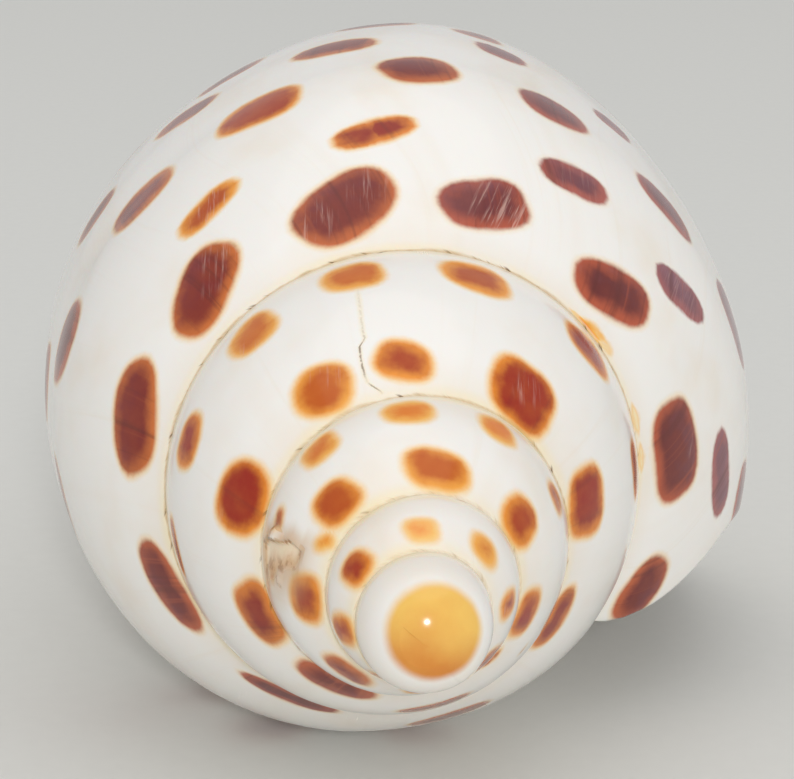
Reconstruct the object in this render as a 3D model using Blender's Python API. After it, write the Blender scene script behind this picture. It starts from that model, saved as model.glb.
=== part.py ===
"""Volute shell: one right-handed spiral shell, lying on its aperture as it rests on a table.

The wall is drawn as a sheet that winds around the shell's axis. Growth is counted in turns: 0 at the
edge of the outer lip, -1 one whorl earlier, and so on back to the round first whorl. In the shell's own
frame +Z is the axis and points to the apex, and Z is 0 where the lip meets the whorl above it.
"""

import math

import bmesh
import bpy
import numpy as np
from mathutils import Euler, Matrix, Vector

MM = 0.001
TURN = 2 * math.pi

# Spire, in millimetres and turns.
SUTURE_RADIUS = 15.0  # from the axis to the suture, where the lip meets the whorl above it
GROWTH_RATE = 0.51  # natural logarithm of how much wider each turn is than the last
SPIRE_SLOPE = 2.03  # drop of the suture along the axis for each millimetre that it moves out
WHORL_BULGE = math.radians(20)  # how far the wall turns away from the straight line between two sutures
CAP_RADIUS = 2.93  # round first whorl, the protoconch
CAP_HEIGHT = 2.6
CAP_START = -3.95  # the turn at which the suture leaves the cap
CAP_BLEND = 0.4  # turns over which the wall loses the cap's roundness
CAP_SPIRAL = 1.3  # how fast the mesh winds in to the middle of the cap
CREASE = 10  # how sharply one outline gives way to another
CONE_TOP = SPIRE_SLOPE * SUTURE_RADIUS  # Z of the point that the spire would run up to without its cap

# Outline of the last whorl below its suture, as (radius, Z), at three stations round it.
UNDER_THE_LIP = (
    (15.0, 0.0),
    (15.5, -4.5),
    (13.6, -14.0),
    (8.0, -26.0),
    (4.1, -38.0),
    (2.9, -51.5),
    (1.9, -64.6),
)
HALF_A_TURN_BACK = (
    (17.8, -6.6),
    (18.5, -12.2),
    (18.4, -20.0),
    (15.7, -31.2),
    (11.2, -43.0),
    (7.0, -54.2),
    (3.6, -64.0),
)
AT_THE_LIP = (
    (23.2, -8.8),
    (25.3, -18.6),
    (25.5, -27.0),
    (22.8, -37.7),
    (18.4, -47.3),
    (13.4, -55.6),
    (7.4, -61.6),
)

# Slow swellings of the last whorl, as (turn, half width in turns, height in millimetres).
SWELLINGS = ((-0.28, 0.08, 1.1), (-0.44, 0.07, -0.4), (-0.88, 0.07, -0.7))

# Wall, lip and columella, in millimetres and turns.
WALL = 1.5
LIP_WALL = 1.0  # wall thickness at the edge of the lip
LIP_TAPER = 0.08  # turns over which the wall thins towards the lip
LIP_START = 0.3  # share of the way to the next suture by which the lip has its full edge
LIP_SWEEP = -0.058  # how far the lip's edge falls back from the suture at its widest, in turns
LIP_REACH = 0.036  # how far it comes forward again below that
HOLLOW_TURNS = 1.3  # how far the hollow is followed inwards from the lip
CALLUS = 0.35  # glaze laid on the inner side of the aperture
CALLUS_TAPER = 0.05  # turns over which the glaze and the folds rise, inwards from the lip
COLUMELLA_TIP = 1.9  # radius of the columella at its end
COLUMELLA_TAPER = 0.083
FOLD_HEIGHT = 0.8  # the four oblique folds on the columella
FOLD_LEVELS = (-27.0, -33.0, -39.0, -45.0)
FOLD_WIDTH = 1.3

# Attitude on the table, in degrees.
LIP_ANGLE = -37.2  # turn about the shell's own axis
AXIS_PITCH = 1.8  # how far the apex is raised
AXIS_ROLL = 0.0

# Steps of the mesh.
STEPS_PER_TURN = 48
SPIRE_ROWS = 5  # rows between a suture and the next
LOWER_ROWS = 12  # rows from there to the tip
FIRST_TURN = -5.5  # on top of the cap
SECTION_STEPS = 120  # steps along a section when its two sides are compared
NEAR = 0.004  # share of a section between two points that give its direction


def suture(turn):
    """(radius, Z) of the suture at this turn."""
    grown = SUTURE_RADIUS * math.exp(GROWTH_RATE * max(turn, CAP_START))
    radius = larger(grown, CAP_RADIUS)
    level = CONE_TOP - SPIRE_SLOPE * grown
    shrink = cap_share(turn)
    return np.array([radius * shrink, level + CAP_HEIGHT * math.sqrt(1 - shrink**2)])


def cap_share(turn):
    """Distance from the axis as a share of the cap's radius: 1 where the suture has left the cap."""
    return math.exp(-CAP_SPIRAL * max(CAP_START - turn, 0.0))


def larger(one, other):
    """The larger of two lengths, with a smooth change from one to the other."""
    return (one**CREASE + other**CREASE) ** (1 / CREASE)


def smoothstep(value):
    value = min(max(value, 0.0), 1.0)
    return value * value * (3 - 2 * value)


def bell(value):
    return math.exp(-(value**2))


def turned(vector, angle):
    """A (radius, Z) vector turned outwards by this angle."""
    cos, sin = math.cos(angle), math.sin(angle)
    return np.array([vector[0] * cos - vector[1] * sin, vector[0] * sin + vector[1] * cos])


def hermite(start, end, start_slope, end_slope, part):
    a = 2 * part**3 - 3 * part**2 + 1
    b = part**3 - 2 * part**2 + part
    c = part**3 - part**2
    return a * start + b * start_slope + (1 - a) * end + c * end_slope


def curve_through(points, start_slope, part):
    """Point at this part, 0 to 1, of a smooth curve through the points."""
    spans = len(points) - 1
    index = min(int(part * spans), spans - 1)
    slopes = [start_slope]
    slopes += [(after - before) / 2 for before, after in zip(points, points[2:])]
    slopes.append(points[-1] - points[-2])
    ends = points[index], points[index + 1]
    return hermite(*ends, slopes[index], slopes[index + 1], part * spans - index)


def columella_radius(level):
    return COLUMELLA_TIP + COLUMELLA_TAPER * (level - UNDER_THE_LIP[-1][1])


def lower_points(turn):
    """Points of the outline from the line that the next suture takes down to the tip, at this turn."""
    stations = np.array([UNDER_THE_LIP, HALF_A_TURN_BACK, AT_THE_LIP])
    if turn >= -1:
        grown = 1 + turn
        first, last = (1 - grown) * (1 - 2 * grown), grown * (2 * grown - 1)
        points = np.tensordot([first, 1 - first - last, last], stations, 1)
    else:
        centre = np.array([0.0, CONE_TOP])
        points = centre + (stations[0] - centre) * math.exp(GROWTH_RATE * (turn + 1))
        reach = (np.arange(len(points)) / (len(points) - 1)) ** 2
        points[:, 1] += reach * (stations[0][-1][1] - points[-1][1])
        points[0] = suture(turn + 1)
    points[1:, 0] = larger(points[1:, 0], columella_radius(points[1:, 1]))
    return points


def cap_slope(share):
    return np.array([CAP_RADIUS * math.sqrt(1 - share**2), -CAP_HEIGHT * share])


def wall_slopes(turn, chord):
    """Slopes of the wall where it leaves one suture and where it reaches the next."""
    length = np.linalg.norm(chord)
    on_cap = [cap_slope(cap_share(turn)), cap_slope(cap_share(turn + 1))]
    on_whorl = [turned(chord, WHORL_BULGE), turned(chord, -WHORL_BULGE)]
    whorl = smoothstep((turn - CAP_START) / CAP_BLEND)
    return [(1 - whorl) * length * a / np.linalg.norm(a) + whorl * b for a, b in zip(on_cap, on_whorl)]


def outline(turn, part):
    """(radius, Z) on the outer face: part is 0 at the suture, 1 at the next one and 2 at the tip."""
    start = suture(turn)
    points = lower_points(turn)
    chord = points[0] - start
    leaving, arriving = wall_slopes(turn, chord)
    if part <= 1:
        point = hermite(start, points[0], leaving, arriving, part)
    else:
        first_span = np.linalg.norm(points[1] - points[0])
        point = curve_through(points, arriving * first_span / np.linalg.norm(chord), part - 1)
    swelling = sum(height * bell((turn - middle) / width) for middle, width, height in SWELLINGS)
    point[0] += swelling * math.sin(math.pi * part / 2) ** 2
    return point


def sweep(turn, part):
    """How far the growth lines fall back from the suture, in turns."""
    back = LIP_SWEEP * math.sin(math.pi * part / 2) ** 2
    forward = LIP_REACH * math.sin(math.pi * max(part - 1, 0.0)) ** 2
    return smoothstep(1 + turn) * (back + forward)


def placed(turn, section):
    """Point in space of a (radius, Z) section point at this turn."""
    angle = -TURN * turn
    return Vector((section[0] * math.cos(angle), section[0] * math.sin(angle), section[1]))


def outer_point(turn, part):
    return placed(turn + sweep(turn, part), outline(turn, part))


def wall_thickness(turn, part):
    """Full inside, thinner at the lip's edge, and drawn out to nothing where the lip meets the suture."""
    inside = smoothstep(-turn / LIP_TAPER)
    edge = LIP_WALL * smoothstep(part / LIP_START)
    return edge + (WALL - edge) * inside


def inner_face(turn, part):
    """(radius, Z) on the wall's inner face, under the same part of the outer face."""
    along = outline(turn, min(part + NEAR, 2.0)) - outline(turn, max(part - NEAR, 0.0))
    inwards = np.array([along[1], -along[0]]) / np.linalg.norm(along)
    return outline(turn, part) + inwards * wall_thickness(turn, part)


def inner_point(turn, part):
    return placed(turn + sweep(turn, part), inner_face(turn, part))


def pillar_face(turn, part):
    """(radius, Z) on the inner side of the hollow: the whorl before it, then the folded columella."""
    point = outline(turn - 1, 1 + part)
    inside = smoothstep(-turn / CALLUS_TAPER)
    scale = math.exp(GROWTH_RATE * turn)
    level = CONE_TOP + (point[1] - CONE_TOP) / scale
    folds = sum(bell((level - middle) / FOLD_WIDTH) for middle in FOLD_LEVELS)
    point[0] += inside * (CALLUS + FOLD_HEIGHT * scale * folds)
    return point


def hollow_ends(turn):
    """Where the hollow's two sides meet, top and bottom: (part of the inner face, part of the pillar)."""
    if turn == 0:
        return (0.0, 0.0), (2.0, 1.0), True
    pillar_parts = np.linspace(0, 1, SECTION_STEPS + 1)
    pillar = np.array([pillar_face(turn, part) for part in pillar_parts])
    wall_parts = np.linspace(0, 2, 2 * SECTION_STEPS + 1)
    wall = np.array([inner_face(turn, part) for part in wall_parts])
    gap = wall[:, 0] - np.interp(-wall[:, 1], -pillar[:, 1], pillar[:, 0])
    first = int(np.argmax(gap > 0))
    closed_below = gap[first:] < 0
    is_open = not closed_below.any()
    last = len(gap) - 1 if is_open else first + int(np.argmax(closed_below))

    def meeting(index):
        share = gap[index - 1] / (gap[index - 1] - gap[index])
        wall_part = wall_parts[index - 1] + share * (wall_parts[index] - wall_parts[index - 1])
        level = wall[index - 1][1] + share * (wall[index][1] - wall[index - 1][1])
        return float(wall_part), float(np.interp(-level, -pillar[:, 1], pillar_parts))

    return meeting(first), (2.0, 1.0) if is_open else meeting(last), is_open


def mesh_rows():
    upper = [row / SPIRE_ROWS for row in range(SPIRE_ROWS)]
    return upper + [1 + row / LOWER_ROWS for row in range(LOWER_ROWS + 1)]


def add_outer_sheet(mesh):
    """Columns of vertices from the cap to the lip. A whorl's last spire row is the next whorl's suture."""
    columns = []
    last = round(-FIRST_TURN * STEPS_PER_TURN)
    for index in range(last + 1):
        turn = FIRST_TURN + index / STEPS_PER_TURN
        on_last_whorl = index >= last - STEPS_PER_TURN
        parts = mesh_rows() if on_last_whorl else mesh_rows()[: SPIRE_ROWS + 1]
        column = [mesh.verts.new(outer_point(turn, part)) for part in parts[1:]]
        if index >= STEPS_PER_TURN:
            first = columns[index - STEPS_PER_TURN][SPIRE_ROWS]
        else:
            first = mesh.verts.new(outer_point(turn, 0.0))
        columns.append([first] + column)
    for before, after in zip(columns, columns[1:]):
        join_rows(mesh, before, after)
    cap_level = CONE_TOP * (1 - math.exp(GROWTH_RATE * CAP_START))
    rim = [column[0] for column in columns[: STEPS_PER_TURN + 1]] + columns[0][SPIRE_ROWS - 1 : 0 : -1]
    fan(mesh, rim, mesh.verts.new(Vector((0, 0, cap_level + CAP_HEIGHT))))
    return columns


def join_rows(mesh, before, after):
    """Faces between two rows of vertices, as far as the shorter one reaches."""
    for index in range(min(len(before), len(after)) - 1):
        corners = [before[index], before[index + 1], after[index + 1], after[index]]
        unique = list(dict.fromkeys(corners))
        if len(unique) > 2:
            mesh.faces.new(unique)


def fan(mesh, rim, middle):
    for index, vertex in enumerate(rim):
        mesh.faces.new((vertex, rim[(index + 1) % len(rim)], middle))


def add_hollow(mesh, columns):
    """The hollow's skin from the aperture inwards, as pairs of rows: the wall's inner face, the pillar."""
    under_lip = columns[-1 - STEPS_PER_TURN]
    rings = []
    for index in range(round(HOLLOW_TURNS * STEPS_PER_TURN) + 1):
        turn = -index / STEPS_PER_TURN
        top, bottom, is_open = hollow_ends(turn)
        parts = [top[0] + (bottom[0] - top[0]) * row / 2 for row in mesh_rows()]
        wall = [mesh.verts.new(inner_point(turn, part)) for part in parts[1:]]
        if index == 0:
            wall = [columns[-1][0]] + wall
            pillar = under_lip[SPIRE_ROWS:]
        else:
            wall = [mesh.verts.new(placed(turn, inner_face(turn, top[0])))] + wall
            shares = [row / LOWER_ROWS for row in range(1, LOWER_ROWS + is_open)]
            parts = [top[1] + (bottom[1] - top[1]) * share for share in shares]
            pillar = [mesh.verts.new(placed(turn, pillar_face(turn, part))) for part in parts]
            pillar = [wall[0]] + pillar + ([] if is_open else [wall[-1]])
        rings.append((wall, pillar, is_open))
    for before, after in zip(rings, rings[1:]):
        join_rows(mesh, before[0], after[0])
        join_rows(mesh, before[1], after[1])
    wall, pillar, _ = rings[-1]
    loop = wall + pillar[-2:0:-1]
    middle = sum((vertex.co for vertex in loop), Vector()) / len(loop)
    fan(mesh, loop, mesh.verts.new(middle))
    return rings


def close_rim(mesh, columns, rings):
    """The lip's edge, then the end face round the siphonal canal."""
    join_rows(mesh, columns[-1], rings[0][0])
    outer = [column[-1] for column in columns[: -2 - STEPS_PER_TURN : -1]]
    open_rings = [ring for ring in rings if ring[2]]
    inner = [ring[0][-1] for ring in open_rings]
    inner.append(rings[len(open_rings)][0][-1])
    inner += [ring[1][-1] for ring in reversed(open_rings)]
    zip_chains(mesh, outer, inner)


def chain_shares(chain):
    lengths = [0.0]
    for before, after in zip(chain, chain[1:]):
        lengths.append(lengths[-1] + (after.co - before.co).length)
    return [length / lengths[-1] for length in lengths]


def zip_chains(mesh, one, other):
    """Triangles between two chains of vertices that end in the same vertex."""
    one_shares, other_shares = chain_shares(one), chain_shares(other)
    a = b = 0
    while a < len(one) - 1 or b < len(other) - 1:
        other_is_done = b == len(other) - 1
        if other_is_done or (a < len(one) - 1 and one_shares[a + 1] <= other_shares[b + 1]):
            corners = [one[a], other[b], one[a + 1]]
            a += 1
        else:
            corners = [one[a], other[b], other[b + 1]]
            b += 1
        if len(set(corners)) == 3:
            mesh.faces.new(corners)


def glazed_shell():
    """Glossy cream-white shell wall."""
    material = bpy.data.materials.new("glazed shell")
    material.use_nodes = True
    shader = material.node_tree.nodes["Principled BSDF"]
    shader.inputs["Base Color"].default_value = (0.87, 0.80, 0.72, 1)
    shader.inputs["Roughness"].default_value = 0.25
    shader.inputs["Metallic"].default_value = 0.0
    return material


def make_shell():
    mesh = bmesh.new()
    columns = add_outer_sheet(mesh)
    rings = add_hollow(mesh, columns)
    close_rim(mesh, columns, rings)
    bmesh.ops.triangulate(mesh, faces=mesh.faces[:])
    bmesh.ops.recalc_face_normals(mesh, faces=mesh.faces[:])
    for face in mesh.faces:
        face.smooth = True
    lie_down(mesh)
    data = bpy.data.meshes.new("shell")
    mesh.to_mesh(data)
    mesh.free()
    data.materials.append(glazed_shell())
    shell = bpy.data.objects.new("shell", data)
    bpy.context.collection.objects.link(shell)
    return shell


def lie_down(mesh):
    """Scale to metres, turn the aperture down and set the shell on Z = 0, the origin under its middle."""
    attitude = Euler((math.radians(90 - AXIS_PITCH), math.radians(AXIS_ROLL), 0)).to_matrix().to_4x4()
    turned_round = Matrix.Rotation(math.radians(LIP_ANGLE), 4, "Z")
    mesh.transform(Matrix.Scale(MM, 4) @ attitude @ turned_round)
    points = np.array([vertex.co for vertex in mesh.verts])
    low, high = points.min(0), points.max(0)
    mesh.transform(Matrix.Translation((-(low[0] + high[0]) / 2, -(low[1] + high[1]) / 2, -low[2])))


def main():
    for old in list(bpy.data.objects):
        bpy.data.objects.remove(old)
    make_shell()


if __name__ == "__main__":
    main()
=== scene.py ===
"""Volute shell: its finish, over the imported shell.

The wall is made unrolled, as a sheet whose length is the shell's growth, and a Geometry Nodes tree winds it
up along a logarithmic spiral. Growth is counted in turns: 0 at the edge of the outer lip, -1 one whorl
earlier, and so on back to the round first whorl. Across the wall, part 0 is the suture, 1 the next suture
and 2 the tip. In the shell's own frame lengths are in millimetres and +Z points to the apex.
"""

import math

import bpy
import numpy as np
from bpy.props import FloatProperty, FloatVectorProperty, IntProperty, PointerProperty
from mathutils import Matrix, Vector


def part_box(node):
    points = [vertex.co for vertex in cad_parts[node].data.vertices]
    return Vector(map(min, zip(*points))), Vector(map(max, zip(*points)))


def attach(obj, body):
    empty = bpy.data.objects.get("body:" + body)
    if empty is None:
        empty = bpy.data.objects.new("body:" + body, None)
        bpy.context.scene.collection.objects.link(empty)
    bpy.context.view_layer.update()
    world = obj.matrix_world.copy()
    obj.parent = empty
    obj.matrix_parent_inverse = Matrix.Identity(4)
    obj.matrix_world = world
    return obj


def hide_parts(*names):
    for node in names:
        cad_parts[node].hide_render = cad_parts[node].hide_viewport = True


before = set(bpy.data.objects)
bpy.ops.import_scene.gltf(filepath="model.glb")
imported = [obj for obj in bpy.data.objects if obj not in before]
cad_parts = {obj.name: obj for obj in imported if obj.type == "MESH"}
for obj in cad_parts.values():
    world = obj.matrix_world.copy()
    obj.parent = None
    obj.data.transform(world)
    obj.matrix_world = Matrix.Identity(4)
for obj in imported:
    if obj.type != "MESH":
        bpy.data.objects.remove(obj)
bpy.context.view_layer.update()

bl_info = {
    "name": "Volute shell",
    "version": (1, 0, 0),
    "blender": (4, 5, 0),
    "location": "3D View > Sidebar > Volute shell",
    "description": "Winds, marks and glazes a volute shell and sets it on a pale studio floor",
    "category": "Object",
}

MM = 0.001
TURN = 2 * math.pi

# Spire, as in the solid model.
SUTURE_RADIUS = 15.0
GROWTH_RATE = 0.51
SPIRE_SLOPE = 2.03
WHORL_BULGE = math.radians(20)
CAP_RADIUS = 2.93
CAP_HEIGHT = 2.6
CAP_START = -3.95
CAP_BLEND = 0.4
CAP_SPIRAL = 1.3
CREASE = 10
CONE_TOP = SPIRE_SLOPE * SUTURE_RADIUS

# Outline of the last whorl below its suture, as (radius, Z), at three stations round it.
UNDER_THE_LIP = (
    (15.0, 0.0), (15.5, -4.5), (13.6, -14.0), (8.0, -26.0),
    (4.1, -38.0), (2.9, -51.5), (1.9, -64.6),
)
HALF_A_TURN_BACK = (
    (17.8, -6.6), (18.5, -12.2), (18.4, -20.0), (15.7, -31.2),
    (11.2, -43.0), (7.0, -54.2), (3.6, -64.0),
)
AT_THE_LIP = (
    (23.2, -8.8), (25.3, -18.6), (25.5, -27.0), (22.8, -37.7),
    (18.4, -47.3), (13.4, -55.6), (7.4, -61.6),
)

# Slow swellings of the last whorl, as (turn, half width in turns, height in millimetres).
SWELLINGS = ((-0.28, 0.08, 1.1), (-0.44, 0.07, -0.4), (-0.88, 0.07, -0.7))

# Wall, lip and columella.
WALL = 1.5
LIP_TAPER = 0.08
LIP_START = 0.3
LIP_SWEEP = -0.058
LIP_REACH = 0.036
LIP_EDGE = 0.012  # how far back, in turns, the lip's edge is uneven
HOLLOW_TURNS = 1.3
CALLUS = 0.35
CALLUS_TAPER = 0.05
COLUMELLA_TIP = 1.9
COLUMELLA_TAPER = 0.083
FOLD_LEVELS = (-27.0, -33.0, -39.0, -45.0)
FOLD_WIDTH = 1.3
EDGE_ROUND = 0.8  # how far in from a free edge its rounding starts
EDGE_LEFT = 0.12  # share of the wall's thickness that is left flat at the edge
LIP_WEAR = 0.0014  # how uneven the lip's edge is, in turns
LIP_SEED = 8
LIP_MM_PER_TURN = 150.0  # lengths of a turn and of a part near the free edges
TIP_MM_PER_PART = 55.0

# Bead below each suture and hollow above it, with lengths in millimetres.
BEAD_RISE = 0.1  # how far below the suture the bead comes up, and then how far it dies away
BEAD_FALL = 0.5
BEAD_UNEVEN = 0.6
BEAD_END = 0.02  # how far from the lip, in turns, the bead starts
DIP_PLACE = 0.2  # how far above the suture the hollow lies, and its half width
DIP_WIDTH = 0.25
DIP_SHARE = 0.7  # its depth, as a share of the bead's height
BEAD_SEED = 3

# Attitude on the table, in degrees.
LIP_ANGLE = -37.2
AXIS_PITCH = 1.8

# Steps of the mesh.
STEPS_PER_TURN = 250
SCAR_STEPS = 22  # extra steps a turn, between these two shares of it, for the broken place
SCAR_SHARES = (0.38, 0.47)
LIP_STEPS = 6  # finer steps in the last two of those, at the lip's edge
HOLLOW_STEPS = 110
SPIRE_ROWS = 34
ROW_CROWDING = 0.7  # how much closer the rows lie near a suture
LOWER_ROWS = 60
TIP_STEPS = 4  # finer rows in the last of those
FIRST_TURN = -5.5
SECTION_STEPS = 240
NEAR = 0.002
FAR = -9.0  # depth, in millimetres, of a place that no spot reaches

# Spots, row by row, as (degrees back from the lip, part, half length, half height, tilt in degrees, tone).
# A tone of 0 is violet brown, 0.5 red brown and 1 pale orange.
SPOTS = (
    # last whorl, shoulder
    (7, 0.23, 2.2, 1.6, -12, 0.1),
    (35, 0.25, 3.05, 2.0, 8, 0.05),
    (71, 0.23, 2.9, 1.55, 25, 0.0),
    (103, 0.24, 2.6, 1.6, 24, -0.1),
    (132, 0.22, 3.0, 1.95, 27, 0.15),
    (166, 0.21, 2.75, 1.7, 32, 0.2),
    (198, 0.2, 2.95, 1.7, 20, 0.2),
    (238, 0.11, 2.7, 1.3, 10, 0.1),
    (280, 0.08, 2.7, 0.8, 5, 0.0),
    (324, 0.3, 2.2, 1.1, 3, 0.1),
    # last whorl, small second row
    (16, 0.63, 2.75, 1.2, 13, -0.4),
    (50, 0.59, 2.55, 1.1, 29, -0.45),
    (80, 0.54, 2.4, 1.1, 17, -0.25),
    (118, 0.53, 2.3, 0.9, 11, 0.35),
    (152, 0.52, 2.05, 0.9, 14, 0.65),
    # last whorl, third row
    (4, 1.0, 2.2, 1.5, 5, -0.2),
    (30, 1.03, 3.0, 1.6, 8, -0.4),
    (53, 0.98, 2.5, 1.45, 11, -0.2),
    (78, 0.94, 2.35, 1.55, 23, -0.15),
    (102, 0.91, 2.1, 1.8, 14, 0.15),
    (130, 0.92, 2.5, 1.8, -13, 0.6),
    (157, 0.98, 2.4, 1.75, -12, 0.25),
    (188, 0.91, 2.3, 2.0, 0, 0.1),
    (220, 0.93, 2.4, 1.7, 8, 0.1),
    (252, 0.95, 2.3, 1.6, -5, 0.15),
    (284, 0.9, 2.0, 1.5, 6, 0.1),
    (317, 0.9, 1.8, 1.2, 0, 0.15),
    # last whorl, fourth row
    (13, 1.2, 2.3, 1.5, 8, 0.05),
    (41, 1.2, 2.3, 1.4, 10, 0.1),
    (67, 1.11, 1.6, 1.1, 13, -0.3),
    (89, 1.13, 1.6, 1.4, 0, -0.2),
    (116, 1.11, 2.5, 1.4, -17, 0.2),
    (147, 1.19, 2.4, 1.3, -42, 0.2),
    (172, 1.19, 1.9, 1.3, -10, 0.1),
    (202, 1.13, 2.2, 1.5, 5, 0.15),
    (234, 1.12, 2.2, 1.5, -6, 0.1),
    (270, 1.12, 1.9, 1.3, 4, 0.1),
    (306, 1.1, 1.8, 1.2, 0, 0.15),
    # last whorl, fifth row
    (72, 1.27, 2.1, 1.4, 6, 0.1),
    (96, 1.22, 1.5, 1.3, 0, 0.05),
    (114, 1.26, 2.3, 1.4, -5, 0.1),
    (140, 1.26, 2.2, 1.3, -8, 0.1),
    (167, 1.32, 2.2, 1.4, 6, 0.1),
    # penultimate whorl, upper row
    (366, 0.08, 1.9, 0.95, 4, 0.3),
    (404, 0.15, 1.85, 1.65, -19, 0.4),
    (445, 0.17, 2.0, 1.9, -5, 0.45),
    (485, 0.18, 1.4, 1.15, -20, 0.6),
    (512, 0.17, 1.45, 1.4, -26, 0.7),
    (557, 0.17, 1.75, 1.65, 0, 0.45),
    (598, 0.12, 1.75, 1.35, 8, 0.3),
    (638, 0.09, 2.0, 1.0, 4, 0.1),
    (680, 0.4, 1.8, 0.75, 0, 0.1),
    # penultimate whorl, lower row
    (401, 0.73, 1.6, 0.95, 0, 0.25),
    (432, 0.78, 1.75, 1.35, 10, 0.4),
    (465, 0.78, 1.8, 1.5, 5, 0.65),
    (495, 0.79, 1.5, 1.3, 0, 0.75),
    (523, 0.77, 1.4, 1.35, 0, 0.75),
    (554, 0.71, 1.35, 1.1, 0, 0.45),
    (584, 0.84, 1.5, 0.5, 0, 0.3),
    # third whorl, upper row
    (737, 0.14, 1.25, 1.0, 0, 0.4),
    (784, 0.18, 1.15, 1.25, 0, 0.6),
    (834, 0.2, 1.5, 1.15, -8, 0.7),
    (887, 0.24, 1.15, 1.1, 0, 0.65),
    (940, 0.23, 1.1, 1.1, 0, 0.5),
    (988, 0.27, 1.2, 0.9, 0, 0.2),
    (1037, 0.25, 1.1, 0.9, 0, 0.4),
    # third whorl, lower row
    (711, 0.07, 0.6, 0.2, 0, 0.3),
    (731, 0.68, 0.8, 0.6, 0, 0.4),
    (776, 0.73, 0.8, 0.65, 0, 0.3),
    (810, 0.77, 0.95, 0.9, 0, 0.85),
    (845, 0.77, 1.15, 0.9, 0, 0.85),
    (882, 0.78, 0.95, 0.9, 0, 0.8),
    (906, 0.12, 0.45, 0.3, -48, 0.85),
    (913, 0.7, 0.5, 0.35, 20, 0.25),
    (936, 0.74, 0.35, 0.25, 0, 0.2),
    # fourth whorl
    (1075, 0.45, 0.8, 0.9, 0, 0.3),
    (1114, 0.36, 0.6, 0.8, 0, 0.5),
    (1157, 0.33, 0.75, 0.7, 0, 0.75),
    (1205, 0.3, 0.7, 0.65, 0, 1.1),
    (1259, 0.29, 0.8, 0.85, 0, 0.55),
    (1307, 0.32, 0.7, 0.95, 0, 0.6),
    (1357, 0.33, 0.6, 0.7, 0, 0.6),
    # flecks along the last suture
    (71, 0.03, 0.85, 0.14, 4, 0.8),
    (73, 0.01, 1.6, 0.08, 0, 1.25),
    (66, 0.03, 0.3, 0.1, 0, 1.4),
    (48, 0.02, 0.75, 0.11, 0, 1.4),
    (39, 0.02, 0.65, 0.11, 0, 1.4),
    # small dark specks
    (719, 0.41, 0.3, 0.07, 8, 0.0),
)

# Rows further down the last whorl, evenly spaced: (part, gap between spots, half length, half height).
LOWER_SPOTS = (
    (1.36, 9.0, 2.4, 1.5),
    (1.49, 8.5, 2.3, 1.4),
    (1.61, 8.0, 2.1, 1.3),
    (1.725, 7.5, 1.8, 1.15),
    (1.83, 7.0, 1.5, 1.0),
    (1.92, 6.5, 1.2, 0.7),
)
LOWER_SPOTS_END = -0.97  # turn at which those rows end
SPOT_SQUARENESS = 2.6
SPOT_REACH = 0.22  # how far from its middle, in turns, a spot may reach
SPOT_STEP = 0.004  # step in turns and in parts that finds which way the wall runs
SPOT_SEED = 11

# Broken and healed place: a ledge across the third whorl, as (turn, part) of its two ends. Lengths are in
# millimetres ahead of it.
SCAR_LEDGE = ((-2.54, 0.24), (-2.572, 0.93))
SCAR_RAGGED = 0.16  # how far the ledge wanders
SCAR_DEPTH = 0.26
SCAR_DROP = 0.14  # width of the drop
SCAR_RIM = 0.05  # height of the low rim ahead of the drop, its place and its half width
SCAR_RIM_PLACE = 0.12
SCAR_RIM_WIDTH = 0.15
SCAR_FALL = 2.1  # how far back the sunken surface comes up again
# Level of the tan stain round the broken place; behind the ledge, in the sunken part, it is partly painted
# shade.
SCAR_STAIN_AND_SHADE = 0.14
SCAR_SEED = 5

# The two flakes by the ledge, as (middle and half size ahead of it, middle and half size along it, rise,
# stain on top).
SCAR_FLAKES = ((0.28, 0.36, 0.62, 0.1, 0.26, 0.05), (-1.4, 0.34, 0.5, 0.06, 0.12, 0.12))

# Healed crack across the penultimate whorl, as (part, turn, darkness).
CRACK = (
    (0.035, -1.370, 0.0), (0.05, -1.372, 0.6), (0.09, -1.380, 0.9), (0.105, -1.382, 0.15),
    (0.14, -1.383, 0.3), (0.17, -1.383, 0.9), (0.25, -1.383, 0.7), (0.30, -1.382, 1.0),
    (0.33, -1.376, 0.4), (0.39, -1.377, 0.25), (0.64, -1.374, 0.12), (0.68, -1.374, 0.0),
)
CRACK_REACH = 0.1  # how far from it, in turns, the crack's darkness is kept

# Tan patch on the first whorl: place across the axis, and radius.
CAP_PATCH = (-0.15, 0.7)
CAP_PATCH_RADIUS = 2.25
CAP_LEVEL = 16.7  # height of the patch's middle above the table

# Places worn by fine scratches, as (degrees back from the lip, part, radius, wear). With a wear above 0 the
# scratches run up the glaze, and below it they lean.
WORN_PLACES = (
    (140, 0.2, 1.4, 1.0),
    (127, 0.25, 1.1, 0.6),
    (100, 0.24, 1.8, -1.0),
    (151, 0.53, 2.2, 0.8),
    (159, 0.28, 1.2, 0.7),
    (509, 0.24, 1.0, 0.5),
    (80, 0.54, 2.2, 0.35),
    (50, 0.6, 2.0, -0.5),
    (445, 0.2, 1.0, 0.6),
)
SCRATCHES_UPRIGHT = 0.08  # turn of the scratches about the depth axis, in radians
SCRATCHES_LEANING = 0.66
SCRATCH_SIZES = (0.22, 5.0, 3.0)  # across, through and along, in millimetres

# Stage, in metres and degrees.
FLOOR_RADIUS = 3.0
FLOOR_SIDES = 96
FLOOR_FIBRES = 900.0  # paper fibres in each metre, and how much paler they are
FLOOR_PALER = 1.04
CAMERA_PLACE = (-0.01477, -0.1445, 0.05615)
CAMERA_TURN = (74.11, -0.58, -5.57)
CAMERA_LENS = 112.5
NEAREST = 0.01

# Lamps, as (name, place, size, power in watts, spread).
LAMPS = (
    ("key lamp", (0.016, -0.80, 0.336), 0.112, 0.362, 70),
    ("overhead lamp", (0.05, 0.05, 0.80), 0.90, 1.1, 180),
)
WORLD_LIGHT = 0.58
BACKDROP_LIGHT = 0.5  # as the camera sees the room


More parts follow.
